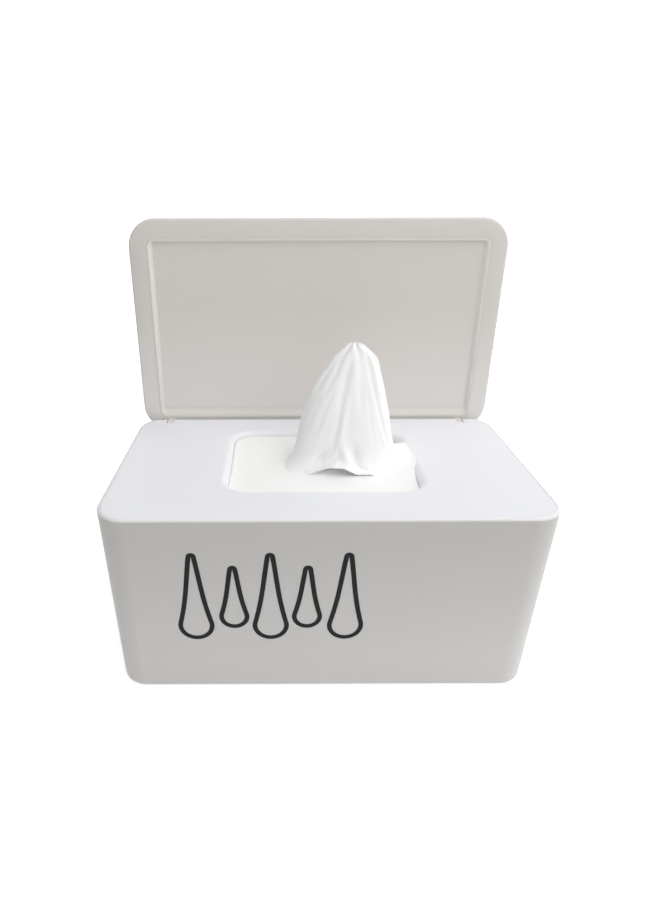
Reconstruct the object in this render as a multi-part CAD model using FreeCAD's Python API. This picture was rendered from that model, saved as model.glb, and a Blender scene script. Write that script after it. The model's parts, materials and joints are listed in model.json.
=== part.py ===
"""Countertop wipes dispenser: a drafted box with a dispensing frame set into its rim and a hinged lid.

Millimetres.  X runs to the right, Y to the back and Z up.  The origin is at the centre of the base,
on the plane that the four feet stand on.  The model is at rest with its lid open against its stops.
"""
import FreeCAD, Part
import math
import os

V = FreeCAD.Vector
X_AXIS = V(1, 0, 0)

# Body
body_width = 195.0
body_depth = 113.5
rim_height = 94.0
draft_inset = 2.0            # the base is narrower than the rim by this much on each side
corner_radius = 14.0         # vertical corners at the rim; the taper narrows them towards the base
base_edge_radius = 3.5
wall = 2.4
floor_thickness = 2.6
floor_edge_chamfer = 1.2
rim_edge_chamfer = 0.9
lip_width = 1.5              # what the rebate for the frame leaves of the wall
overrun = 5.0                # how far every cutting tool passes the face it cuts
level_tolerance = 1e-3       # edges this close to a height count as lying at it

# Feet
foot_radius = 6.0
foot_thickness = 1.8
foot_stand = 0.8             # how far a foot stands proud of the underside
foot_edge_chamfer = 0.3
foot_fit = 0.1
foot_from_side = 19.0
foot_from_front = 17.0

# Dispensing frame
plate_thickness = 2.2
plate_sink = 0.3             # the plate lies this much below the top of the rim
plate_edge_chamfer = 0.5
seat_gap = 0.1
side_gap = 0.3
skirt_depth = 12.0
skirt_thickness = 1.8
skirt_edge_chamfer = 0.4
opening_width = 88.0
opening_depth = 66.0
opening_corner = 10.5
opening_set_back = 2.6       # the opening's centre lies this much behind the middle
roll_radius = 3.5            # the rolled edge that the wipes are drawn over
lip_wall = 2.2
lip_depth = 6.5
lip_edge_chamfer = 0.6
lip_root_chamfer = 1.0

# Hinge
hinge_inset = 3.8            # from the rear face to the hinge axis
hinge_drop = 4.1             # from the lid's inner face to the hinge axis
ear_from_side = 15.5         # from the side of the body to the middle of each ear
ear_thickness = 3.4
ear_radius = 3.0
ear_gap = 0.4                # beside each ear in its notch
ear_floor_gap = 0.4
pin_radius = 1.25
pin_clearance = 0.05
pin_length = 5.5
pin_end_chamfer = 0.3
boss_length = 6.0
boss_wall = 1.0
knuckle_gap = 0.3            # between the rounded rear rim and the lid that rolls over it
lid_open_angle = 92.0

# Lid
lid_gap = 0.3
lid_thickness = 3.2
lid_corner_radius = 14.5
lid_edge_radius = 1.3
lid_inner_edge_chamfer = 0.4
lid_side_border = 9.3
lid_front_border = 9.8
lid_rear_border = 7.6
panel_recess = 1.3
panel_corner_radius = 4.0

# Lid gasket
gasket_width = 1.8
gasket_gap = 0.3             # between the closed gasket and the plate
gasket_fit = 0.05
gasket_edge_chamfer = 0.4

# Pile of wipes
stack_room = 8.0             # from the top of the plate down to the middle of the pile
stack_side_gap = 2.9         # between the pile and the walls at the floor
stack_crown = 1.2
stack_corner = 4.0
stack_edge_radius = 3.0
stack_gap = 0.2

# Pulled wipe: a pleated tent, and the part that still lies on the pile
wipe_gap = 0.3
wipe_rise = 52.5             # how far its tip stands above the rim
tent_foot_x = 11.0
tent_foot_y = 8.0
tent_foot_width = 54.0
tent_foot_depth = 41.0
tent_peak_x = 16.4
tent_peak_y = 3.5
tent_peak_share = 0.3        # size of the gathered tip as a share of the foot's
pleat_count = 9
pleat_depth = 2.2            # at the foot
skirt_front_room = 21.4      # from the opening's front edge to the front edge of the lying part
skirt_front_rise = 2.6
skirt_rear_rise = 5.2
skirt_bulge = 0.9
skirt_margin = 1.2           # between the lying part and the walls of the opening
skirt_corner = 8.0
# Each stage of the tent: its height, how far it has moved from foot to peak, and how far it has narrowed
tent_stage_shares = ((0, 0, 0), (0.1, 0.06, 0.06), (0.3, 0.2, 0.2), (0.55, 0.43, 0.43),
                     (0.8, 0.68, 0.68), (1, 1, 1))

# Places that follow from the sizes
rear_face = body_depth / 2
plate_top = rim_height - plate_sink
plate_bottom = plate_top - plate_thickness
lid_inner_face = rim_height + lid_gap
ear_spacing = body_width - 2 * ear_from_side
stack_inset = draft_inset + wall + stack_side_gap
stack_length = body_width - 2 * stack_inset
stack_depth = body_depth - 2 * stack_inset
stack_top = plate_top - stack_room
hinge_y = rear_face - hinge_inset
hinge_z = lid_inner_face - hinge_drop
hinge_origin = V(0, hinge_y, hinge_z)
notch_width = ear_thickness + 2 * ear_gap
notch_floor = hinge_z - ear_radius - ear_floor_gap
boss_radius = pin_radius + pin_clearance + boss_wall
wipe_foot = stack_top + wipe_gap
wipe_peak = rim_height + wipe_rise


def rounded_wire(half_x, half_y, radius, z, middle_y=0):
    """Closed wire of four lines and four quarter arcs, at height z."""
    cx = half_x - radius
    cy = half_y - radius
    edges = []
    for turn, (sx, sy) in enumerate(((1, 1), (-1, 1), (-1, -1), (1, -1))):
        centre = V(sx * cx, sy * cy + middle_y, z)
        start, middle, end = [
            centre + V(math.cos(a), math.sin(a), 0) * radius
            for a in [math.radians(90 * turn + step) for step in (0, 45, 90)]]
        edges.append((start, Part.Arc(start, middle, end).toShape(), end))
    wire = []
    for here, after in zip(edges, edges[1:] + edges[:1]):
        wire.append(here[1])
        wire.append(Part.LineSegment(here[2], after[0]).toShape())
    return Part.Wire(wire)


def prism(half_x, half_y, radius, low, high, middle_y=0):
    """Upright block with rounded corners."""
    face = Part.Face(rounded_wire(half_x, half_y, radius, low, middle_y))
    return face.extrude(V(0, 0, high - low))


def body_block(low, high, inset):
    """Block that keeps the body's draft, drawn in from its outer face by inset: its corners are cones."""
    wires = []
    for z in (low, high):
        shrink = draft_inset * (rim_height - z) / (rim_height - foot_stand) + inset
        wires.append(rounded_wire(body_width / 2 - shrink, body_depth / 2 - shrink,
                                  corner_radius - shrink, z))
    return Part.makeLoft(wires, True, True)


def box_between(low, high):
    """Box from its lowest corner to its highest."""
    size = high - low
    return Part.makeBox(size.x, size.y, size.z, low)


def edges_at(shape, z, inside=None):
    """Level edges at height z, kept only where their middle is inside a given block."""
    found = []
    for edge in shape.Edges:
        box = edge.BoundBox
        if max(abs(box.ZMin - z), abs(box.ZMax - z)) < level_tolerance:
            if inside is None or inside.isInside(edge.CenterOfMass, level_tolerance, True):
                found.append(edge)
    return found


def rear_rounding():
    """What is cut off the rear rim, so that the lid rolls over it about the hinge axis."""
    corner = box_between(V(-body_width, hinge_y, hinge_z),
                         V(body_width, rear_face + overrun, rim_height + overrun))
    drum = Part.makeCylinder(hinge_drop - knuckle_gap, 2 * body_width,
                             V(-body_width, hinge_y, hinge_z), X_AXIS)
    return corner.cut(drum)


def ear_notch(side, front):
    """Open-topped notch for one ear, from front to behind the rear face."""
    middle = side * ear_spacing / 2
    return box_between(V(middle - notch_width / 2, front, notch_floor),
                       V(middle + notch_width / 2, rear_face + overrun, rim_height + overrun))


def boss_pocket(side):
    """Room in the tub's rear wall for one hinge boss, which leaves the lip standing behind it."""
    outer = ear_spacing / 2 + notch_width / 2
    inner = ear_spacing / 2 - notch_width / 2 - boss_length - ear_gap
    low_x, high_x = sorted((side * outer, side * inner))
    room = box_between(V(low_x, rear_face - wall - overrun, notch_floor),
                       V(high_x, rear_face + overrun, rim_height + overrun))
    return room.common(body_block(notch_floor, rim_height + overrun, lip_width))


def foot_places():
    """Name and middle of each foot."""
    x = body_width / 2 - foot_from_side
    y = body_depth / 2 - foot_from_front
    return {"foot_front_left": (-x, -y), "foot_front_right": (x, -y),
            "foot_rear_left": (-x, y), "foot_rear_right": (x, y)}


def box_shell():
    """Moulded tub: drafted walls, rounded base, rebate for the frame and room for the hinge."""
    shell = body_block(foot_stand, rim_height, 0)
    shell = shell.makeFillet(base_edge_radius, edges_at(shell, foot_stand))
    shell = shell.makeChamfer(rim_edge_chamfer, edges_at(shell, rim_height))
    floor_top = foot_stand + floor_thickness
    inside = body_block(floor_top, rim_height + overrun, wall)
    inside = inside.makeChamfer(floor_edge_chamfer, edges_at(inside, floor_top))
    shell = shell.cut(inside)
    shell = shell.cut(body_block(plate_bottom - seat_gap, rim_height + overrun, lip_width))
    for side in (-1, 1):
        shell = shell.cut(boss_pocket(side))
        shell = shell.cut(ear_notch(side, rear_face - wall - overrun))
    shell = shell.cut(rear_rounding())
    seat = foot_thickness - foot_stand
    for x, y in foot_places().values():
        shell = shell.cut(Part.makeCylinder(foot_radius + foot_fit, seat + overrun,
                                            V(x, y, foot_stand - overrun)))
    return shell


def foot(x, y):
    """Soft pad, glued into its seat in the underside."""
    pad = Part.makeCylinder(foot_radius, foot_thickness, V(x, y, 0))
    return pad.makeChamfer(foot_edge_chamfer, edges_at(pad, 0))


def hinge_boss(side):
    """Boss under the plate that holds one of the lid's stub pins."""
    inner_face = ear_spacing / 2 - notch_width / 2
    low_x = min(side * inner_face, side * (inner_face - boss_length))
    rear = rear_face - lip_width - side_gap
    block = box_between(V(low_x, hinge_y - boss_radius, hinge_z),
                        V(low_x + boss_length, rear + overrun, plate_bottom + plate_thickness / 2))
    round_part = Part.makeCylinder(boss_radius, boss_length, V(low_x, hinge_y, hinge_z), X_AXIS)
    boss = block.fuse(round_part)
    return boss.common(body_block(hinge_z - boss_radius - overrun, plate_top, lip_width + side_gap))


def hinge_bore(side):
    """Running bore for one stub pin."""
    inner_face = ear_spacing / 2 - notch_width / 2
    low_x = min(side * inner_face, side * (inner_face - boss_length)) - overrun
    return Part.makeCylinder(pin_radius + pin_clearance, boss_length + 2 * overrun,
                             V(low_x, hinge_y, hinge_z), X_AXIS)


def opening_prism(out, low, high):
    """Block of the opening's outline, grown outward by out."""
    return prism(opening_width / 2 + out, opening_depth / 2 + out, opening_corner + out,
                 low, high, opening_set_back)


def top_frame():
    """Plate that drops into the rim, with a locating skirt, a rolled opening and two hinge bosses."""
    plate = body_block(plate_bottom, plate_top, lip_width + side_gap)
    plate = plate.makeChamfer(plate_edge_chamfer, edges_at(plate, plate_top))
    skirt_low = plate_bottom - skirt_depth
    skirt_in = wall + side_gap
    skirt_top = plate_bottom + plate_thickness / 2
    skirt = body_block(skirt_low, skirt_top, skirt_in)
    skirt = skirt.cut(body_block(skirt_low - overrun, skirt_top + overrun, skirt_in + skirt_thickness))
    skirt = skirt.makeChamfer(skirt_edge_chamfer, edges_at(skirt, skirt_low))
    lip_low = plate_top - lip_depth
    frame = plate.fuse(skirt).fuse(opening_prism(lip_wall, lip_low, plate_top - plate_thickness / 2))
    frame = frame.cut(opening_prism(0, lip_low - overrun, plate_top + overrun)).removeSplitter()
    frame = frame.makeChamfer(lip_root_chamfer, edges_at(
        frame, plate_bottom, opening_prism(lip_wall + plate_thickness, lip_low, plate_top)))
    frame = frame.makeChamfer(lip_edge_chamfer, edges_at(frame, lip_low))
    frame = frame.makeFillet(roll_radius, edges_at(
        frame, plate_top, opening_prism(lip_wall, lip_low, plate_top)))
    for side in (-1, 1):
        frame = frame.fuse(hinge_boss(side))
    for side in (-1, 1):
        frame = frame.cut(hinge_bore(side))
        frame = frame.cut(ear_notch(side, hinge_y - ear_radius - ear_gap))
    return frame.cut(rear_rounding()).removeSplitter()


def lid_ear(side):
    """Ear under the lid's rear border, with its stub pin pointing inward."""
    low_x = side * ear_spacing / 2 - ear_thickness / 2
    root = lid_inner_face + lid_thickness / 2
    ear = box_between(V(low_x, hinge_y - ear_radius, hinge_z), V(low_x + ear_thickness,
                                                                   hinge_y + ear_radius, root))
    ear = ear.fuse(Part.makeCylinder(ear_radius, ear_thickness, V(low_x, hinge_y, hinge_z), X_AXIS))
    reach = ear_thickness / 2 + ear_gap + pin_length
    pin = Part.makeCylinder(pin_radius, reach, V(0, hinge_y, hinge_z), X_AXIS * -side)
    tip = max(pin.Edges, key=lambda edge: -side * edge.CenterOfMass.x)
    pin = pin.makeChamfer(pin_end_chamfer, [tip])
    pin.translate(V(side * ear_spacing / 2, 0, 0))
    return ear.fuse(pin)


def opened(shape):
    """Turn a closed lid piece about the hinge, up to its rest against the stops."""
    turned = shape.copy()
    turned.rotate(hinge_origin, X_AXIS, -lid_open_angle)
    return turned


def panel_prism(inset, low, high):
    """Block of the outline of the lid's recessed panel, drawn in by inset."""
    half_depth = (body_depth - lid_front_border - lid_rear_border) / 2
    return prism(body_width / 2 - lid_side_border - inset, half_depth - inset,
                 panel_corner_radius - inset, low, high, (lid_front_border - lid_rear_border) / 2)


def lid():
    """Lid with a flat border, a recessed inner panel and two hinge ears."""
    top = lid_inner_face + lid_thickness
    cover = prism(body_width / 2, body_depth / 2, lid_corner_radius, lid_inner_face, top)
    cover = cover.makeFillet(lid_edge_radius, edges_at(cover, top))
    cover = cover.makeChamfer(lid_inner_edge_chamfer, edges_at(cover, lid_inner_face))
    cover = cover.cut(panel_prism(0, lid_inner_face - overrun, lid_inner_face + panel_recess))
    for side in (-1, 1):
        cover = cover.fuse(lid_ear(side))
    return opened(cover.removeSplitter())


def lid_gasket():
    """Soft ring that lies in the corner of the panel and stands a little proud of the border."""
    low = plate_top + gasket_gap
    high = lid_inner_face + panel_recess
    ring = panel_prism(gasket_fit, low, high)
    ring = ring.cut(panel_prism(gasket_fit + gasket_width, low - overrun, high + overrun))
    ring = ring.makeChamfer(gasket_edge_chamfer, edges_at(ring, low))
    return opened(ring)


def wipe_stack():
    """Pile of folded wipes, a little crowned on top."""
    low = foot_stand + floor_thickness + stack_gap
    half = stack_depth / 2
    shoulder = stack_top - stack_crown
    corners = [V(-stack_length / 2, y, z) for y, z in
               ((-half, shoulder), (-half, low), (half, low), (half, shoulder))]
    crown = Part.Arc(corners[3], V(-stack_length / 2, 0, stack_top), corners[0])
    sides = [Part.LineSegment(a, b).toShape() for a, b in zip(corners, corners[1:])]
    pile = Part.Face(Part.Wire(sides + [crown.toShape()])).extrude(V(stack_length, 0, 0))
    pile = pile.common(prism(stack_length / 2, half, stack_corner, low, stack_top))
    upper = [edge for edge in pile.Edges if edge.BoundBox.ZMin > shoulder - stack_gap]
    return pile.makeFillet(stack_edge_radius, upper)


def pleated_wire(middle, share):
    """Closed zigzag of crests on an ellipse and creases inside it: the foot's outline, shrunk."""
    half_x = tent_foot_width / 2
    half_y = tent_foot_depth / 2
    points = []
    for step in range(2 * pleat_count):
        angle = math.pi * step / pleat_count
        outward = V(math.cos(angle) / half_x, math.sin(angle) / half_y, 0).normalize()
        crest = V(half_x * math.cos(angle), half_y * math.sin(angle), 0)
        points.append(middle + (crest - outward * pleat_depth * (step % 2)) * share)
    return Part.makePolygon(points + points[:1])


def tent():
    """Part of the pulled wipe that stands in the air, gathered towards its tip."""
    foot_middle = V(tent_foot_x, tent_foot_y, 0)
    peak_middle = V(tent_peak_x, tent_peak_y, 0)
    wires = []
    for height_share, place_share, narrowing_share in tent_stage_shares:
        middle = foot_middle + (peak_middle - foot_middle) * place_share
        middle.z = wipe_foot + (wipe_peak - wipe_foot) * height_share
        wires.append(pleated_wire(middle, 1 + (tent_peak_share - 1) * narrowing_share))
    return Part.makeLoft(wires, True, True)


def lying_part():
    """Part of the pulled wipe that still lies on the pile, and rises towards the rear of the opening."""
    half_x = opening_width / 2 - skirt_margin
    front = opening_set_back - opening_depth / 2 + skirt_front_room
    rear = opening_set_back + opening_depth / 2 - skirt_margin
    points = [V(-half_x, front, wipe_foot + skirt_front_rise), V(-half_x, front, wipe_foot),
              V(-half_x, rear, wipe_foot), V(-half_x, rear, wipe_foot + skirt_rear_rise)]
    top_middle = (points[0] + points[3]) / 2 + V(0, 0, skirt_bulge)
    sides = [Part.LineSegment(a, b).toShape() for a, b in zip(points, points[1:])]
    sides.append(Part.Arc(points[3], top_middle, points[0]).toShape())
    slab = Part.Face(Part.Wire(sides)).extrude(V(2 * half_x, 0, 0))
    return slab.common(prism(half_x, (rear - front) / 2, skirt_corner, wipe_foot, wipe_peak,
                             (rear + front) / 2))


def pulled_wipe():
    """Wipe drawn up through the opening."""
    return tent().fuse(lying_part()).removeSplitter()


def write(name, shape):
    """Write one sub-part, after a check that it is whole."""
    solids = shape.Solids
    if len(solids) != 1 or not shape.isValid():
        raise ValueError(f"{name}: {len(solids)} solids, valid {shape.isValid()}")
    solids[0].exportStep(f"parts/{name}.step")
    box = shape.optimalBoundingBox(False)
    print(f"{name:17s} volume {shape.Volume:10.1f}  x {box.XMin:7.2f} {box.XMax:7.2f}"
          f"  y {box.YMin:7.2f} {box.YMax:7.2f}  z {box.ZMin:7.2f} {box.ZMax:7.2f}")


os.makedirs("parts", exist_ok=True)
write("box_shell", box_shell())
for foot_name, place in foot_places().items():
    write(foot_name, foot(*place))
write("top_frame", top_frame())
write("lid", lid())
write("lid_gasket", lid_gasket())
write("wipe_stack", wipe_stack())
write("pulled_wipe", pulled_wipe())
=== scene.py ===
"""Countertop wipes dispenser: finishes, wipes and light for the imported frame, in metres."""
import json
import math

import bmesh
import bpy
from mathutils import Matrix, Vector, noise


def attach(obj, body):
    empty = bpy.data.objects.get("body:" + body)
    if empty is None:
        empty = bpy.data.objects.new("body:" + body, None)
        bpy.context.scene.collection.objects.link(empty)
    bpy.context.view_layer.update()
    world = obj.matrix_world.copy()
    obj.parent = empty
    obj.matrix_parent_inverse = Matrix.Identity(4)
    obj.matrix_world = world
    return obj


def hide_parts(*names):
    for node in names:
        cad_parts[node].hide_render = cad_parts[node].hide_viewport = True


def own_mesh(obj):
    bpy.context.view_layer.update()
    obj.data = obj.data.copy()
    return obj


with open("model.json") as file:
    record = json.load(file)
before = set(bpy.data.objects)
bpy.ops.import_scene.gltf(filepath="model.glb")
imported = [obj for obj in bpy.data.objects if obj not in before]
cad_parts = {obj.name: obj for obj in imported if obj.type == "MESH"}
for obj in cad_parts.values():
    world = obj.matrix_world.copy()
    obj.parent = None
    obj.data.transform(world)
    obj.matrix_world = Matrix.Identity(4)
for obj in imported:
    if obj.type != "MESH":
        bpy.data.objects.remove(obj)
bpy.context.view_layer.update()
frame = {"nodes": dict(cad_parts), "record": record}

MM = 0.001

# Camera
camera_place = Vector((-20.861, -260.721, 217.256)) * MM
camera_pitch = 26.005
camera_roll = -0.185
camera_lens = 23.634
camera_shift = (0.0573, 0.0189)

# Height of the tub's rim, in millimetres
rim_height = 94.0

# The frame's plate, in millimetres
plate_half = (95.7, 54.95)
plate_corner = 12.2
plate_low = 91.5
plate_high = 93.7
plate_chamfer = 0.5
plate_fit = 0.27             # its edge is let out by this much, to the rim
plate_rise = 0.45            # and its upper part raised by this much
chamfer_rise = 0.25          # the inner line of the chamfer rises less
chamfer_left = 0.2           # and this share of the chamfer's width is left
plate_reach = (0.15, 0.1)    # points this near its outline and that inner line belong to them

# The closed lid, in millimetres
lid_half = (97.5, 56.75)
lid_corner = 14.5
lid_low = 94.3
lid_chamfer = 0.4
lid_softening = 0.9          # what the chamfer round its inner face is widened by
lid_reach = 0.06             # points this near its outline or chamfer belong to them
level_reach = 0.02           # and so do points this near in height

# Edges at the hinge keep their shape: those behind this line and between these ends, in millimetres
hinge_line = 40
plate_hinge_end = 88
lid_hinge_end = 80

# Moulded copies: points closer than this, in metres, are one, and edges sharper than this stay sharp
merge_distance = 1e-6
sharp_angle = 50

# Opening that the wipes are drawn through, and its rolled edge, in millimetres
opening_middle = 2.6
opening_half = (44.0, 33.0)
opening_corner = 10.5
roll_radius = 3.5
roll_low = 90.2
wall_gap = 0.08
roll_gap = 0.3


def linear(hex_colour):
    """sRGB hex colour as linear RGBA."""
    parts = [int(hex_colour[i:i + 2], 16) / 255 for i in (1, 3, 5)]
    return [c / 12.92 if c <= 0.04045 else ((c + 0.055) / 1.055) ** 2.4 for c in parts] + [1]


def add(tree, kind, inputs=None, **settings):
    """Add one node; settings are its own properties, inputs are socket values or outputs to link."""
    node = tree.nodes.new(kind)
    for name, value in settings.items():
        setattr(node, name, value)
    for name, value in (inputs or {}).items():
        if isinstance(value, bpy.types.NodeSocket):
            tree.links.new(value, node.inputs[name])
        else:
            node.inputs[name].default_value = value
    return node


def new_material(name):
    """New node material, its empty tree, and Object coordinates in millimetres."""
    material = bpy.data.materials.new(name)
    material.use_nodes = True
    tree = material.node_tree
    tree.nodes.clear()
    place = add(tree, "ShaderNodeTexCoord").outputs["Object"]
    scaled = add(tree, "ShaderNodeVectorMath", {0: place, 1: (1 / MM,) * 3}, operation="MULTIPLY")
    return material, tree, scaled.outputs[0]


def finish_material(tree, shader):
    """Join a shader to the material's output."""
    add(tree, "ShaderNodeOutputMaterial", {"Surface": shader.outputs[0]})


# Sizes of the patterns, in millimetres
tone_patch = 60              # slow change of tone across a moulding
mould_grain = 0.35           # spark-eroded grain, drawn coarser than the real one, or it wouldn't show
silicone_patch = 8
dusty_patch = 3
embossed_cell = 1.6
fibre_tangle = 0.5           # tangle of fibres; single ones are too fine to show
moist_patch = 14
ink_mottle = 1.5
lip_depth = (1.3, 0.6)       # the tub's rim is painted whiter between these depths below its top: painted light


def polypropylene(name, colour, painted_shade_colour=None, heights=(0, 1), painted_light_lip_colour=None):
    """Injection-moulded polypropylene: satin, with the fine spark-eroded grain of its mould.

    It is painted a little greyer between the two heights, darker towards the top: painted shade. Where it
    ends in a thin lip it is painted whiter: painted light standing in for light that comes through the lip.
    """
    material, tree, place = new_material(name)
    cloud = add(tree, "ShaderNodeTexNoise", {"Vector": place, "Scale": 1 / tone_patch, "Detail": 2})
    grains = add(tree, "ShaderNodeTexNoise", {"Vector": place, "Scale": 1 / mould_grain, "Detail": 1})
    tone = add(tree, "ShaderNodeMapRange", {"Value": cloud.outputs["Fac"], "To Min": 0.985, "To Max": 1.015})
    plain = linear(colour)[:3]
    height = add(tree, "ShaderNodeSeparateXYZ", {"Vector": place}).outputs["Z"]
    # Painted shade: the colour turns greyer between the two heights, darker towards the top
    if painted_shade_colour:
        painted_shade = add(tree, "ShaderNodeMapRange", {"Value": height, "From Min": heights[0],
                                                "From Max": heights[1]})
        plain = add(tree, "ShaderNodeMix", {"Factor": painted_shade.outputs[0], 6: linear(colour),
                                            7: linear(painted_shade_colour)}, data_type="RGBA").outputs[2]
    # Painted light: the thin lip at the rim is painted whiter, standing in for light coming through it
    if painted_light_lip_colour:
        at_lip = add(tree, "ShaderNodeMapRange", {"Value": height, "From Min": rim_height - lip_depth[0],
                                                  "From Max": rim_height - lip_depth[1]})
        plain = add(tree, "ShaderNodeMix", {"Factor": at_lip.outputs[0], 6: plain,
                                            7: linear(painted_light_lip_colour)}, data_type="RGBA").outputs[2]
    base = add(tree, "ShaderNodeVectorMath", {0: plain, 1: tone.outputs[0]}, operation="MULTIPLY")
    rough = add(tree, "ShaderNodeMapRange", {"Value": cloud.outputs["Fac"], "To Min": 0.42, "To Max": 0.5})
    bump = add(tree, "ShaderNodeBump", {"Height": grains.outputs["Fac"], "Strength": 0.12,
                                        "Distance": 0.03 * MM})
    shader = add(tree, "ShaderNodeBsdfPrincipled", {
        "Base Color": base.outputs[0], "Roughness": rough.outputs[0], "IOR": 1.49,
        "Subsurface Weight": 0.5, "Subsurface Radius": (1, 0.95, 0.88), "Subsurface Scale": 1.2 * MM,
        "Normal": bump.outputs[0]})
    finish_material(tree, shader)
    return material


def silicone():
    """Translucent silicone rubber, moulded matt, that yellows a little."""
    material, tree, place = new_material("translucent_silicone")
    cloud = add(tree, "ShaderNodeTexNoise", {"Vector": place, "Scale": 1 / silicone_patch, "Detail": 2})
    rough = add(tree, "ShaderNodeMapRange", {"Value": cloud.outputs["Fac"], "To Min": 0.35, "To Max": 0.5})
    shader = add(tree, "ShaderNodeBsdfPrincipled", {
        "Base Color": linear("#dfdbd6"), "Roughness": rough.outputs[0], "IOR": 1.41,
        "Subsurface Weight": 0.5, "Subsurface Radius": (1, 0.95, 0.88), "Subsurface Scale": 2.0 * MM})
    finish_material(tree, shader)
    return material


def rubber():
    """Moulded thermoplastic rubber: dull, with a dusty bloom."""
    material, tree, place = new_material("moulded_rubber")
    bloom = add(tree, "ShaderNodeTexNoise", {"Vector": place, "Scale": 1 / dusty_patch, "Detail": 3})
    ramp = add(tree, "ShaderNodeValToRGB", {"Fac": bloom.outputs["Fac"]})
    ramp.color_ramp.elements[0].color = linear("#77777a")
    ramp.color_ramp.elements[1].color = linear("#8d8d8f")
    bump = add(tree, "ShaderNodeBump", {"Height": bloom.outputs["Fac"], "Strength": 0.3,
                                        "Distance": 0.05 * MM})
    shader = add(tree, "ShaderNodeBsdfPrincipled", {
        "Base Color": ramp.outputs["Color"], "Roughness": 0.75, "Normal": bump.outputs[0]})
    finish_material(tree, shader)
    return material


def nonwoven():
    """Spunlaced viscose wipe: soft and matt, embossed with small cells, with a tangle of fibres."""
    material, tree, place = new_material("spunlaced_viscose")
    surface = add(tree, "ShaderNodeUVMap", uv_map="cloth").outputs[0]
    cells = add(tree, "ShaderNodeTexVoronoi", {"Vector": surface, "Scale": 1 / embossed_cell,
                                               "Randomness": 0.12})
    fibres = add(tree, "ShaderNodeTexNoise", {"Vector": surface, "Scale": 1 / fibre_tangle, "Detail": 4})
    cloud = add(tree, "ShaderNodeTexNoise", {"Vector": place, "Scale": 1 / moist_patch, "Detail": 2})
    ramp = add(tree, "ShaderNodeValToRGB", {"Fac": cloud.outputs["Fac"]})
    ramp.color_ramp.elements[0].color = linear("#f3f3f2")
    ramp.color_ramp.elements[1].color = linear("#f9f9f8")
    embossing = add(tree, "ShaderNodeBump", {"Height": cells.outputs["Distance"], "Strength": 0.5,
                                             "Distance": 0.2 * MM})
    fuzz = add(tree, "ShaderNodeBump", {"Height": fibres.outputs["Fac"], "Strength": 0.15,
                                        "Distance": 0.05 * MM, "Normal": embossing.outputs[0]})
    shader = add(tree, "ShaderNodeBsdfPrincipled", {
        "Base Color": ramp.outputs["Color"], "Roughness": 0.85, "Sheen Weight": 0.6,
        "Sheen Roughness": 0.9, "Normal": fuzz.outputs[0]})
    finish_material(tree, shader)
    return material


def printing_ink():
    """Screen-printed ink: dense black, dull, with an uneven film."""
    material, tree, place = new_material("screen_printed_ink")
    mottle = add(tree, "ShaderNodeTexNoise", {"Vector": place, "Scale": 1 / ink_mottle, "Detail": 2})
    rough = add(tree, "ShaderNodeMapRange", {"Value": mottle.outputs["Fac"], "To Min": 0.5, "To Max": 0.62})
    shader = add(tree, "ShaderNodeBsdfPrincipled", {
        "Base Color": linear("#0e0f13"), "Roughness": rough.outputs[0], "Specular IOR Level": 0.2})
    finish_material(tree, shader)
    return material


def link(name, mesh, material, body):
    """Put a finished mesh in the scene as a piece that rides on a body."""
    piece = bpy.data.objects.new(name, mesh)
    bpy.context.scene.collection.objects.link(piece)
    mesh.materials.clear()
    mesh.materials.append(material)
    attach(piece, body)
    return piece


def outline_side(x, y, half_x, half_y, radius):
    """How far a point lies inside a rounded rectangle's outline, and the way outwards there."""
    past = Vector((abs(x) - half_x + radius, abs(y) - half_y + radius))
    if past.x > 0 and past.y > 0:
        inset, way = radius - past.length, past.normalized()
    elif past.x > past.y:
        inset, way = radius - past.x, Vector((1, 0))
    else:
        inset, way = radius - past.y, Vector((0, 1))
    return inset, Vector((math.copysign(way.x, x), math.copysign(way.y, y), 0))


def lid_opened():
    """Turn of the lid about its hinge, from closed to its open rest."""
    hinge = next(joint for joint in frame["record"]["behaviour"]["joints"] if joint["name"] == "lid_hinge")
    axis = Matrix.Translation(hinge["pos_m"])
    return axis @ Matrix.Rotation(math.radians(hinge["range_deg"][0]), 4, "X") @ axis.inverted()


def fit_plate(work):
    """Let the plate's edge out to the rim and level with it: only a faint line shows between them."""
    for vert in work.verts:
        x, y, z = vert.co / MM
        inset, way = outline_side(x, y, *plate_half, plate_corner)
        if z <= plate_low - plate_reach[1] or (y >= hinge_line and abs(x) <= plate_hinge_end):
            continue
        if abs(inset) < plate_reach[0]:
            lift = plate_rise if z > plate_low + plate_chamfer else 0
            vert.co += (way * plate_fit + Vector((0, 0, lift))) * MM
        elif z > plate_high - level_reach and abs(inset - plate_chamfer) < plate_reach[1]:
            out = plate_fit + (1 - chamfer_left) * plate_chamfer
            vert.co += (way * out + Vector((0, 0, chamfer_rise))) * MM


def round_lid_edge(work):
    """Widen the chamfer round the lid's inner face to the soft edge that shows when it is open."""
    opened = lid_opened()
    bmesh.ops.transform(work, matrix=opened.inverted(), verts=work.verts)
    for vert in work.verts:
        x, y, z = vert.co / MM
        inset, way = outline_side(x, y, *lid_half, lid_corner)
        if y > hinge_line and abs(x) < lid_hinge_end:
            continue
        if abs(z - lid_low) < level_reach and abs(inset - lid_chamfer) < lid_reach:
            vert.co -= way * (lid_softening * MM)
        elif abs(z - lid_low - lid_chamfer) < level_reach and abs(inset) < lid_reach:
            vert.co.z += lid_softening * MM
    bmesh.ops.transform(work, matrix=opened, verts=work.verts)


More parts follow.
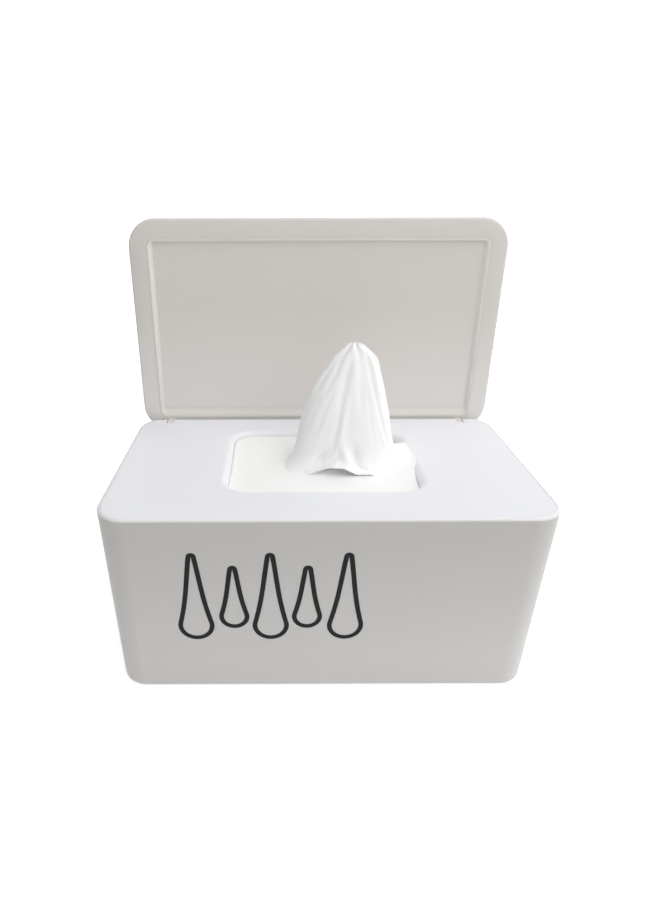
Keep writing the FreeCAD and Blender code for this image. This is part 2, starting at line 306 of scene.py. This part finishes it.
def smooth_moulding(node_name, name, material, body, reshape=None):
    """Merged copy of a moulded node, shaded smoothly over its small chamfers and fillets."""
    work = bmesh.new()
    work.from_mesh(frame["nodes"][node_name].data)
    bmesh.ops.remove_doubles(work, verts=work.verts, dist=merge_distance)
    if reshape:
        reshape(work)
    for face in work.faces:
        face.smooth = True
    for edge in work.edges:
        edge.smooth = edge.is_manifold and edge.calc_face_angle(0) < math.radians(sharp_angle)
    mesh = bpy.data.meshes.new(name)
    work.to_mesh(mesh)
    work.free()
    piece = link(name, mesh, material, body)
    weights = piece.modifiers.new("flat_faces_stay_flat", "WEIGHTED_NORMAL")
    weights.keep_sharp = True
    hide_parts(node_name)


def blend_share(value, low, high):
    """0 below low, 1 above high, and smooth between them."""
    share = min(max((value - low) / (high - low), 0), 1)
    return share * share * (3 - 2 * share)


def rounded_point(share, half_x, half_y, radius, middle_y=0):
    """Point of a rounded rectangle's outline; share runs from 0 to 1 once round it."""
    quarter, part = divmod(4 * share, 1)
    corners = ((1, 1), (-1, 1), (-1, -1), (1, -1))
    ends = []
    for corner, turn in ((int(quarter) % 4, min(part * 2, 1)), ((int(quarter) + 1) % 4, 0)):
        angle = math.radians(90 * (corner + turn))
        ends.append(Vector((corners[corner][0] * (half_x - radius) + radius * math.cos(angle),
                            corners[corner][1] * (half_y - radius) + radius * math.sin(angle) + middle_y)))
    return ends[0].lerp(ends[1], max(part * 2 - 1, 0))


def ring(work, count, place):
    """Closed loop of edges whose points lie where place(share) says."""
    loop = bmesh.ops.create_circle(work, segments=count, radius=1)["verts"]
    for index, vert in enumerate(loop):
        vert.co = place(index / count)
    return list({edge for vert in loop for edge in vert.link_edges})


def skin(work, rings):
    """Join each loop of edges to the next."""
    for here, after in zip(rings, rings[1:]):
        bmesh.ops.bridge_loops(work, edges=here + after)


def finished(work, name, lay=None):
    """Smooth mesh in metres from a bmesh in millimetres; lay gives the cloth's UV places."""
    if lay:
        uv = work.loops.layers.uv.new("cloth")
        for face in work.faces:
            for corner in face.loops:
                corner[uv].uv = lay(corner.vert.co)
    for face in work.faces:
        face.smooth = True
    bmesh.ops.scale(work, verts=work.verts, vec=(MM, MM, MM))
    mesh = bpy.data.meshes.new(name)
    work.to_mesh(mesh)
    work.free()
    return mesh


# Lid seal: a soft bead in the corner of the lid's recessed panel, in millimetres with the lid closed
panel_half = (88.2, 48.05)
panel_middle = 1.1
panel_corner = 4.0
panel_floor = 95.6
bead_profile = ((0.02, 0.0), (0.02, 1.28), (0.3, 1.34), (0.7, 1.37), (1.1, 1.27), (1.5, 1.0), (1.9, 0.66),
                (2.3, 0.34), (2.7, 0.12), (3.1, 0.02))
crest_inset = 0.7            # the flank begins inside the crest
hinge_side_reach = 2.2       # and is this many times as long along the hinge
free_side_reach = 0.45       # and along the free edge
reach_change = (30, 42)      # its length changes between these distances from the middle
least_corner = 0.6
seal_points = 96


def seal_bead(material):
    """Seal with a rounded crest and a long soft flank towards the middle of the lid."""
    work = bmesh.new()
    rings = []
    for inset, rise in bead_profile:
        def place(share):
            flat = rounded_point(share, panel_half[0] - inset, panel_half[1] - inset,
                                 max(panel_corner - inset, least_corner), panel_middle)
            flank = max(inset - crest_inset, 0)
            longer = (hinge_side_reach - 1) * blend_share(flat.y, *reach_change)
            shorter = (1 - free_side_reach) * blend_share(-flat.y, *reach_change)
            return Vector((flat.x, flat.y - flank * (longer + shorter), panel_floor - rise))
        rings.append(ring(work, seal_points, place))
    skin(work, rings)
    bmesh.ops.recalc_face_normals(work, faces=work.faces)
    mesh = finished(work, "lid_seal")
    mesh.transform(lid_opened())
    piece = link("lid_seal", mesh, material, "lid")
    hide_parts("lid_gasket")


# Pile of folded wipes, in millimetres
pile_half = (90.0, 49.3)
pile_corner = 4
pile_low = 3.7
pile_high = 85.2
pile_wipes = 30
pile_points = 96
pile_drift = 0.5             # a wipe lies out of line by up to this much
pile_wave = 0.35             # and its height changes by up to this much
# Section of one wipe's rounded side: share of its height, and how far inside the pile's side it lies
fold_section = ((0.04, 1.5), (0.2, 0.7), (0.5, 0.4), (0.8, 0.7), (0.96, 1.5))


def wipe_pile(material):
    """Thirty folded wipes, one on the other, each with its own small offset."""
    work = bmesh.new()
    step = (pile_high - pile_low) / pile_wipes
    rings = []
    for index in range(pile_wipes):
        drift = pile_drift * noise.noise(Vector((index * 1.7, 4.1, 0)))
        for height, inset in fold_section:
            def place(share):
                flat = rounded_point(share, pile_half[0] - inset - abs(drift), pile_half[1] - inset,
                                     pile_corner)
                wave = pile_wave * noise.noise(Vector((flat.x / 25, flat.y / 25, index * 0.8)))
                level = pile_low + (index + height) * step + wave
                return Vector((flat.x + drift, flat.y + 0.5 * drift, level))
            rings.append(ring(work, pile_points, place))
    skin(work, rings)
    for loop in (rings[0], rings[-1]):
        bmesh.ops.edgeloop_fill(work, edges=loop)
    bmesh.ops.recalc_face_normals(work, faces=work.faces)
    mesh = finished(work, "wipe_pile", lambda place: (place.x + place.y, place.z))
    piece = link("wipe_pile", mesh, material, "tub")
    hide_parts("wipe_stack")


# Next wipe, in millimetres
bulge_top = 89.7
next_points = 112
next_ply = 0.3
swelling_rings = 20
# Its side in the opening: how far out of the swelling each ring lies, and how far down
swelling_side = ((-0.15, 0.05), (0, 0.3), (0, 1.1), (0, 2.4))
swelling_foot = 88.0
# Its flat part under the frame: share of the way out to its cut edge, and height
flat_part = ((0, 86.75), (0.06, 86.5), (0.3, 86.3), (0.6, 86.1), (0.9, 85.8), (1, 85.5))
flat_half = (89, 48.5)
flat_start = 1.2             # the flat part begins this far outside the opening
roll_climb = 4.2             # at the right it climbs the opening's roll by this much
roll_fall = 3.4              # and falls again by this much towards the rear
rear_climb = 1.3
hollow_depth = 5.0           # hollow in its rear right corner, beside the roll
hollow_middle = (43, 34)
hollow_size = 5
swelling_wave = 0.22
drawn_height = 3.6           # what the raised wipe pulls up with it, and where
drawn_middle = (10, 4)
drawn_size = (13, 9.5)


def bulge_height(x, y):
    """Height of the folded wipes where they swell up in the opening; at the right they climb its roll."""
    climb = roll_climb * blend_share(y, -20, 2) - roll_fall * blend_share(y, 19, 30)
    rear = rear_climb * blend_share(y, 8, 34)
    hollow = hollow_depth * math.exp(-((x - hollow_middle[0]) / hollow_size) ** 2
                                     - ((y - hollow_middle[1]) / hollow_size) ** 2)
    return (bulge_top + climb * blend_share(x, 28, 44.5) + rear * (1 - blend_share(x, 28, 40)) - hollow
            + swelling_wave * noise.noise(Vector((x / 13, y / 9, 3.1))))


def drawn_up(x, y):
    """How far the next wipe is pulled up inside the raised one."""
    return drawn_height * math.exp(-((x - drawn_middle[0]) / drawn_size[0]) ** 4
                                   - ((y - drawn_middle[1]) / drawn_size[1]) ** 4)


def roll_edge(z):
    """How far out a sheet may reach at height z before it meets the opening's wall or its roll."""
    rise = min(max(z - roll_gap - roll_low, 0), roll_radius)
    return roll_radius - math.sqrt(roll_radius ** 2 - rise ** 2) - wall_gap


def next_wipe(material):
    """Topmost folded wipe: it swells up in the opening and lies flat under the frame around it."""
    work = bmesh.new()
    rings = []
    for step in range(1, swelling_rings):
        # The last two rings lie nearer to the edge
        share_out = step / swelling_rings if step < 18 else 0.9 + 0.04 * (step - 17)
        def place(share):
            flat = rounded_point(share, *[size * share_out for size in opening_half],
                                 opening_corner * share_out, opening_middle)
            return Vector((flat.x, flat.y, bulge_height(flat.x, flat.y) + drawn_up(flat.x, flat.y)))
        rings.append(ring(work, next_points, place))
    for beyond, drop in swelling_side:
        def place(share):
            flat = rounded_point(share, *opening_half, opening_corner, opening_middle)
            z = bulge_height(flat.x, flat.y)
            out = beyond + (roll_edge(z) if drop < 1 else -wall_gap)
            flat = rounded_point(share, *[size + out for size in opening_half], opening_corner + out,
                                 opening_middle)
            return Vector((flat.x, flat.y, min(z - drop, swelling_foot if drop > 2 else z)))
        rings.append(ring(work, next_points, place))
    for share_out, z in flat_part:
        def place(share):
            near = rounded_point(share, *[size + flat_start for size in opening_half],
                                 opening_corner + flat_start, opening_middle)
            far = rounded_point(share, *flat_half, pile_corner)
            flat = near.lerp(far, share_out)
            return Vector((flat.x, flat.y, z + 0.15 * noise.noise(Vector((flat.x / 20, flat.y / 16, 8)))))
        rings.append(ring(work, next_points, place))
    skin(work, rings)
    bmesh.ops.edgeloop_fill(work, edges=rings[0])
    bmesh.ops.recalc_face_normals(work, faces=work.faces)
    mesh = finished(work, "next_wipe", lambda place: (place.x, place.y))
    piece = link("next_wipe", mesh, material, "tub")
    thick = piece.modifiers.new("ply", "SOLIDIFY")
    thick.thickness = next_ply * MM
    thick.offset = -1


# Drawn wipe, in millimetres
sheet_cells = (116, 104)
ply = 0.3
tip_share = 0.06             # shares of the way out from the sheet's middle: the gathered tip ends
foot_share = 0.72            # and the flank meets the part that lies down
tip_middle = (14.0, 3.0)
flank_squareness = 2.3       # 2 is an ellipse
pleat_depth = 0.8
ruffle_depth = 3.0           # ruffles round the gathered tip
hem_flare = 0.6
cloth_half = (75, 60)        # half its width and depth in the UV map: the cells are a little finer there
# Outline of the raised part at each height: left, right, front and rear
outlines = ((150.6, 12.4, 15.6, 2.2, 4.0), (148.9, 10.4, 18.0, 1.4, 5.0), (147.2, 8.4, 20.4, 0.9, 5.9),
            (145.6, 6.2, 22.6, 0.4, 6.6), (143.5, 4.2, 24.2, -0.2, 8.0), (139.0, 1.4, 25.8, -1.0, 10.0),
            (134.0, -2.5, 27.3, -1.6, 12.0), (128.5, -5.0, 28.9, -2.2, 14.0),
            (122.0, -7.2, 30.6, -2.8, 16.5), (115.5, -9.4, 32.5, -3.4, 19.0),
            (107.5, -12.0, 35.2, -4.2, 22.5), (102.0, -14.0, 37.2, -4.8, 26.0),
            (97.0, -15.9, 39.2, -5.6, 29.0), (93.5, -17.6, 40.8, -6.6, 31.0),
            (91.5, -19.0, 42.0, -8.0, 32.6))
hem = ((-43.6, -10.5), (-9.4, -6.4), (7.0, -9.6), (24.4, -8.9), (43.6, -8.5))
hem_arch = 4.2
# Creases from the ends of the hem: the left one leans as a straight line, the right one is given by
# its place from left to right at each height above the pile
crease_base = 90
left_crease_start = -12.4
left_crease_lean = 1.41
left_crease_size = (3.2, 2.3)      # depth and half width
right_crease_size = (2.4, 1.9)
right_ridge = (0.9, 2.2, 4.2)      # height, half width and distance of the ridge beside it
right_crease = ((0.0, 26.0), (0.8, 24.4), (2.0, 20.0), (3.6, 16.8), (8.0, 15.6), (13.3, 14.6), (20.0, 13.8))
settle_frames = 20
settle_hold = 0.12           # how firmly the loose points are drawn back to their places
settle_shrink = -0.015       # below 0, so the cloth grows a little and wrinkles softly
SIM = 10 * MM                # the cloth is settled ten times its size, where the solver is at ease


def between(rows, value):
    """Row of a table at a value of its first column, by straight lines between the rows."""
    for here, after in zip(rows, rows[1:]):
        if (value - here[0]) * (value - after[0]) <= 0 and here[0] != after[0]:
            share = (value - here[0]) / (after[0] - here[0])
            return [a + (b - a) * share for a, b in zip(here, after)]
    return list(rows[0] if abs(value - rows[0][0]) < abs(value - rows[-1][0]) else rows[-1])


def in_opening(x, y, z, gap=0):
    """Nearest place to (x, y) that keeps clear of the opening's wall, its roll and its round corners."""
    half_x, half_y = [size + roll_edge(z) - gap for size in opening_half]
    y -= opening_middle
    x = min(max(x, -half_x), half_x)
    y = min(max(y, -half_y), half_y)
    from_corner = Vector((max(abs(x) - half_x + opening_corner, 0),
                          max(abs(y) - half_y + opening_corner, 0)))
    if from_corner.length > opening_corner:
        from_corner *= opening_corner / from_corner.length
        x = math.copysign(half_x - opening_corner + from_corner.x, x)
        y = math.copysign(half_y - opening_corner + from_corner.y, y)
    return Vector((x, y + opening_middle, z))


def edge_point(u, v):
    """Where a point of the wipe's cut edge lies: the front edge has an arch where it is drawn up."""
    if v <= -0.999:
        if abs(u) <= 0.5:
            x = hem[1][0] + (hem[3][0] - hem[1][0]) * (u + 0.5)
        elif u < 0:
            x = hem[0][0] + (hem[1][0] - hem[0][0]) * (u + 1) * 2
        else:
            x = hem[3][0] + (hem[4][0] - hem[3][0]) * (u - 0.5) * 2
        y = between(hem, x)[1]
        w = u + 0.5
        arch = blend_share(w, 0.0, 0.42) * (1 - 0.84 * blend_share(w, 0.52, 0.8)) * (
            1 - blend_share(w, 0.94, 1.02))
        clear = min(arch / 0.1, 1)
        z = bulge_height(x, y) - 0.3 + 0.45 * clear + hem_arch * arch
        return in_opening(x, y, z)
    rear = opening_middle + opening_half[1]
    x = (opening_half[0] + 2) * u
    y = hem[0][1] + (rear - hem[0][1]) * (v + 1) / 2
    corner_gap = 1.8 * blend_share(u, 0.7, 1) * blend_share(v, 0.6, 1)
    return in_opening(x, y, bulge_height(x, y) + 0.2, corner_gap)


def flank_point(angle, share):
    """Place on the raised part, from its tip (share 0) down to its foot (share 1), with its pleats."""
    z = outlines[0][0] + (outlines[-1][0] - outlines[0][0]) * share
    left, right, front, rear = between(outlines, z)[1:]
    c, s = math.cos(angle), math.sin(angle)
    full = (abs(c) ** flank_squareness + abs(s) ** flank_squareness) ** (-1 / flank_squareness)
    forward = 0.5 * (1 - (s * full) ** 2) * blend_share(-c, 0, 0.6) * blend_share(share, 0.55, 1)
    place = Vector(((left + right) / 2 + (right - left) / 2 * c * full,
                    (front + rear) / 2 + (rear - front) / 2 * (s * full - forward), z))
    pleats = (0.5 * math.cos(9 * angle + 0.9) + 0.32 * math.cos(14 * angle + 2.1 + 2 * share)
              - 0.9 * math.exp(-((math.degrees(angle) + 54) / 7) ** 2))
    depth = pleat_depth * (1 - 0.94 * blend_share(share, 0.06, 0.5)) * (1 - blend_share(share, 0.85, 1))
    ruffles = ruffle_depth * (abs(math.cos(3.5 * angle + 0.3)) - 0.62) * (1 - blend_share(share, 0.0, 0.22))
    return place + Vector((c, s, 0)) * (pleats * depth + ruffles)


def pinch(place):
    """How far the front is drawn in where two creases run from the ends of the hem up to the middle."""
    low = place.z - crease_base
    left_line = left_crease_start + left_crease_lean * low
    right_line = between(right_crease, low)[1]
    depth, width = left_crease_size
    left = depth * math.exp(-((place.x - left_line) / width) ** 2) * (1 - blend_share(low, 7, 14))
    depth, width = right_crease_size
    height, ridge_width, beside = right_ridge
    right = (depth * math.exp(-((place.x - right_line) / width) ** 2)
             - height * math.exp(-((place.x - right_line + beside) / ridge_width) ** 2)
             ) * (1 - blend_share(low, 9, 15))
    return (left + right) * blend_share(low, 0.2, 1.6)


def wipe_point(u, v):
    """Place of a point of the wipe, from its tip through the folded flank to its cut edge."""
    out = max(abs(u), abs(v), 1e-6)
    edge = edge_point(u / out, v / out)
    angle = math.atan2(v, u)
    in_front = 1 - blend_share(abs(math.degrees(angle) + 90), 25, 44)
    turn = foot_share + (1 - foot_share) * in_front
    if out < tip_share:
        share = out / tip_share
        rim = flank_point(angle, 0)
        middle = Vector((*tip_middle, rim.z))
        crumple = (1 - share) * (0.3 + 0.5 * math.cos(3 * angle + 1))
        return middle.lerp(rim, share) + Vector((0, 0, crumple))
    foot = flank_point(angle, 1)
    foot.z = bulge_height(foot.x, foot.y) + 0.3
    foot = foot.lerp(edge, in_front)
    if out > turn:
        share = (out - turn) / max(1 - turn, 1e-6)
        flat = foot.lerp(edge, share)
        lying = (bulge_height(flat.x, flat.y) + 0.2 + 0.1 * (1 - share)
                 - 0.5 * share ** 1.3 * blend_share(-v / out, 0.7, 1))
        flat.z = lying * (1 - in_front) + flat.z * in_front
        return in_opening(*flat)
    share = (out - tip_share) / (turn - tip_share)
    place = flank_point(angle, share)
    reach = blend_share(share, 0.78, 1)
    end = place.lerp(foot, reach)
    end.z = place.z + (foot.z - place.z) * blend_share(share, 0.55, 1)
    end.y += pinch(end) * in_front * (1 - blend_share(share, 0.93, 1))
    end.y -= hem_flare * in_front * math.exp(-((end.z - foot.z - 0.4) / 1.2) ** 2)
    return end


def settle(mesh, held):
    """Let a sheet settle from its shape; its held points stay and the others are drawn back softly."""
    sheet = bpy.data.objects.new("settling", mesh)
    bpy.context.scene.collection.objects.link(sheet)
    group = sheet.vertex_groups.new(name="held")
    group.add(list(range(len(mesh.vertices))), settle_hold, "REPLACE")
    group.add(held, 1.0, "REPLACE")
    cloth = sheet.modifiers.new("cloth", "CLOTH")
    cloth.settings.quality = 8
    cloth.settings.mass = 0.15
    cloth.settings.tension_stiffness = 20
    cloth.settings.compression_stiffness = 20
    cloth.settings.shear_stiffness = 8
    cloth.settings.bending_stiffness = 0.6
    cloth.settings.air_damping = 2
    cloth.settings.vertex_group_mass = "held"
    cloth.settings.shrink_min = settle_shrink
    cloth.settings.effector_weights.gravity = 0.2
    cloth.point_cache.frame_start = 1
    cloth.point_cache.frame_end = settle_frames
    for step in range(1, settle_frames + 1):
        bpy.context.scene.frame_set(step)
    settled = bpy.data.meshes.new_from_object(sheet.evaluated_get(bpy.context.evaluated_depsgraph_get()))
    bpy.data.objects.remove(sheet)
    bpy.context.scene.frame_set(1)
    return settled


def drawn_wipe(material):
    """Wipe drawn up through the opening: a sheet gathered at its tip, folded down its flanks."""
    work = bmesh.new()
    bmesh.ops.create_grid(work, x_segments=sheet_cells[0], y_segments=sheet_cells[1], size=1)
    uv = work.loops.layers.uv.new("cloth")
    for face in work.faces:
        face.smooth = True
        for corner in face.loops:
            corner[uv].uv = (corner.vert.co.x * cloth_half[0], corner.vert.co.y * cloth_half[1])
    held = []
    for vert in work.verts:
        u, v = vert.co.x, vert.co.y
        out = max(abs(u), abs(v))
        if out < tip_share + 0.02 or out > 0.98:
            held.append(vert.index)
        vert.co = wipe_point(u, v)
    still = set(held)
    for step in range(2):
        bmesh.ops.smooth_vert(work, verts=[vert for vert in work.verts if vert.index not in still],
                              factor=0.5, use_axis_x=True, use_axis_y=True, use_axis_z=True)
    bmesh.ops.scale(work, verts=work.verts, vec=(SIM, SIM, SIM))
    mesh = bpy.data.meshes.new("drawn_wipe")
    work.to_mesh(mesh)
    work.free()
    mesh = settle(mesh, held)
    mesh.transform(Matrix.Scale(MM / SIM, 4))
    piece = link("drawn_wipe", mesh, material, "wipe")
    thick = piece.modifiers.new("ply", "SOLIDIFY")
    thick.thickness = ply * MM
    thick.offset = 0
    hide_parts("pulled_wipe")
    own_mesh(piece)


# Printed drops on the front, in millimetres
ink_stroke = 2.1
ink_thickness = 0.06
drop_places = ((-57.5, 32.0, 77.0, 7.0), (-40.5, 38.5, 70.5, 5.6), (-24.5, 32.0, 77.0, 7.0),
               (-8.5, 38.5, 70.5, 5.6), (8.5, 32.0, 77.0, 7.0))
drop_tip_radius = 1.1
drop_hollow = 0.14
drop_points = 96
front_face = 56.75
front_taper = 2.0 / 93.2     # how far the face falls back for each millimetre below the rim


def drop_point(share, low, high, radius):
    """Point and outward angle on a drop's outline: a round foot, hollow sides and a small round tip."""
    span = high - low - radius - drop_tip_radius
    lean = math.asin((radius - drop_tip_radius) / span)
    quarter, part = divmod(4 * share, 1)
    angle, along = ((lean, part), (lean + (math.pi - 2 * lean) * part, 1), (math.pi - lean, 1 - part),
                    (math.pi - lean + (math.pi + 2 * lean) * part, 0))[int(quarter) % 4]
    size = radius + (drop_tip_radius - radius) * along
    hollow = 1 - drop_hollow * math.sin(math.pi * along)
    return size * math.cos(angle) * hollow, low + radius + span * along + size * math.sin(angle), angle


def printed_drops(material):
    """Row of drop outlines, screen-printed on the front face."""
    work = bmesh.new()
    for middle, low, high, radius in drop_places:
        rings = []
        for offset in (-ink_stroke / 2, ink_stroke / 2):
            def place(share):
                x, z, angle = drop_point(share, low, high, radius)
                z += offset * math.sin(angle)
                return Vector((middle + x + offset * math.cos(angle),
                               front_taper * (rim_height - z) - front_face, z))
            rings.append(ring(work, drop_points, place))
        skin(work, rings)
    bmesh.ops.recalc_face_normals(work, faces=work.faces)
    for face in work.faces:
        if face.normal.y > 0:
            face.normal_flip()
    raised = bmesh.ops.extrude_face_region(work, geom=work.faces[:])["geom"]
    bmesh.ops.translate(work, verts=[part for part in raised if isinstance(part, bmesh.types.BMVert)],
                        vec=(0, -ink_thickness, 0))
    bmesh.ops.recalc_face_normals(work, faces=work.faces)
    mesh = finished(work, "printed_drops")
    for face in mesh.polygons:
        face.use_smooth = False
    link("printed_drops", mesh, material, "tub")


def set_camera():
    """Camera at the photograph's place."""
    data = bpy.data.cameras.new("camera")
    data.lens = camera_lens
    data.shift_x, data.shift_y = camera_shift
    camera = bpy.data.objects.new("camera", data)
    camera.matrix_world = (Matrix.Translation(camera_place)
                           @ Matrix.Rotation(math.radians(90 - camera_pitch), 4, "X")
                           @ Matrix.Rotation(math.radians(camera_roll), 4, "Z"))
    bpy.context.scene.collection.objects.link(camera)
    bpy.context.scene.camera = camera


def seen_directly(tree):
    """1 for camera, glossy and transmission rays, else 0."""
    path = add(tree, "ShaderNodeLightPath").outputs
    first = add(tree, "ShaderNodeMath", {0: path["Is Camera Ray"], 1: path["Is Glossy Ray"]},
                operation="MAXIMUM")
    return add(tree, "ShaderNodeMath", {0: first.outputs[0], 1: path["Is Transmission Ray"]},
               operation="MAXIMUM").outputs[0]


def set_world(even, sides):
    """Studio light, seen as white: an even part, and what each side of the room adds or takes."""
    world = bpy.data.worlds.new("studio")
    world.use_nodes = True
    tree = world.node_tree
    tree.nodes.clear()
    way = add(tree, "ShaderNodeTexCoord").outputs["Object"]
    strength = even
    for side, share in sides:
        facing = add(tree, "ShaderNodeVectorMath", {0: way, 1: side}, operation="DOT_PRODUCT")
        lit = add(tree, "ShaderNodeMath", {0: facing.outputs["Value"], 1: 0}, operation="MAXIMUM")
        strength = add(tree, "ShaderNodeMath", {0: lit.outputs[0], 1: share, 2: strength},
                       operation="MULTIPLY_ADD").outputs[0]
    level = add(tree, "ShaderNodeMapRange", {"Value": seen_directly(tree), "To Min": strength, "To Max": 1})
    background = add(tree, "ShaderNodeBackground", {"Color": linear("#ffffff"),
                                                    "Strength": level.outputs[0]})
    add(tree, "ShaderNodeOutputWorld", {"Surface": background.outputs[0]})
    bpy.context.scene.world = world


def lamp(name, place, size, power, target):
    """Square soft box that points at a target."""
    data = bpy.data.lights.new(name, "AREA")
    data.size = size
    data.energy = power
    light = bpy.data.objects.new(name, data)
    light.location = place
    light.rotation_euler = (Vector(target) - Vector(place)).to_track_quat("-Z", "Y").to_euler()
    bpy.context.scene.collection.objects.link(light)


def set_floor():
    """White tabletop that keeps the shadow and is seen as white."""
    material, tree, place = new_material("white_tabletop")
    plain = add(tree, "ShaderNodeBsdfDiffuse", {"Color": linear("#f2f2f2")})
    lit = add(tree, "ShaderNodeBsdfDiffuse", {"Color": linear("#ffffff")})
    away = add(tree, "ShaderNodeVectorMath", {0: place}, operation="LENGTH")
    whiter = add(tree, "ShaderNodeMapRange", {"Value": away.outputs["Value"], "From Min": 200,
                                              "From Max": 600, "To Min": 0.6, "To Max": 1})
    glow = add(tree, "ShaderNodeEmission", {"Color": linear("#ffffff"), "Strength": whiter.outputs[0]})
    bright = add(tree, "ShaderNodeAddShader", {0: lit.outputs[0], 1: glow.outputs[0]})
    mix = add(tree, "ShaderNodeMixShader", {0: seen_directly(tree), 1: plain.outputs[0],
                                            2: bright.outputs[0]})
    finish_material(tree, mix)
    work = bmesh.new()
    bmesh.ops.create_grid(work, x_segments=1, y_segments=1, size=4)
    mesh = bpy.data.meshes.new("tabletop")
    work.to_mesh(mesh)
    work.free()
    mesh.materials.append(material)
    floor = bpy.data.objects.new("tabletop", mesh)
    bpy.context.scene.collection.objects.link(floor)


# Finishes: one white polypropylene in three painted tones. The tub's is darker and warmer as painted shade,
# the frame's lighter and cooler as painted light, and the lid's lies between them. The heights between which
# a part is painted greyer are in millimetres above the table
# Tub: the white is painted darker and warmer than the frame's as painted shade, greyer towards its top as
# painted shade, and whiter at its lip as painted light
shell_plastic = polypropylene("white_polypropylene_painted_warm_shade", "#d2d0ce", "#c4c2bf", (20, 85), "#ecebeb")
# Frame: the same white, painted lighter and cooler as painted light
frame_plastic = polypropylene("white_polypropylene_painted_cool_light", "#ebecf0")
# Lid: the same white, painted lighter than the tub's as painted light, and greyer towards its free top edge
# as painted shade
lid_plastic = polypropylene("white_polypropylene_painted_lid_light", "#e1ddda", "#d4d0cb", (98, 155))

smooth_moulding("box_shell", "moulded_tub", shell_plastic, "tub")
smooth_moulding("top_frame", "dispensing_frame", frame_plastic, "frame", reshape=fit_plate)
smooth_moulding("lid", "hinged_lid", lid_plastic, "lid", reshape=round_lid_edge)
seal_bead(silicone())
foot_rubber = rubber()
for corner in ("front_left", "front_right", "rear_left", "rear_right"):
    smooth_moulding(f"foot_{corner}", f"rubber_foot_{corner}", foot_rubber, "tub")

viscose = nonwoven()
wipe_pile(viscose)
next_wipe(viscose)
drawn_wipe(viscose)
printed_drops(printing_ink())

set_camera()

# Light: weaker from above, where the soft boxes take over, and stronger from the right
set_world(0.9, [((0, 0, 1), -0.9), ((1, 0, 0), 0.52), ((-1, 0, 0), -0.1)])
lamp("overhead_box", (0.2, -0.05, 0.9), 0.8, 4.3, (0, 0, 0.08))
lamp("front_box", (0.5, -0.7, 0.8), 0.8, 2.2, (0, 0, 0.08))
set_floor()
bpy.context.scene.view_settings.view_transform = "Standard"
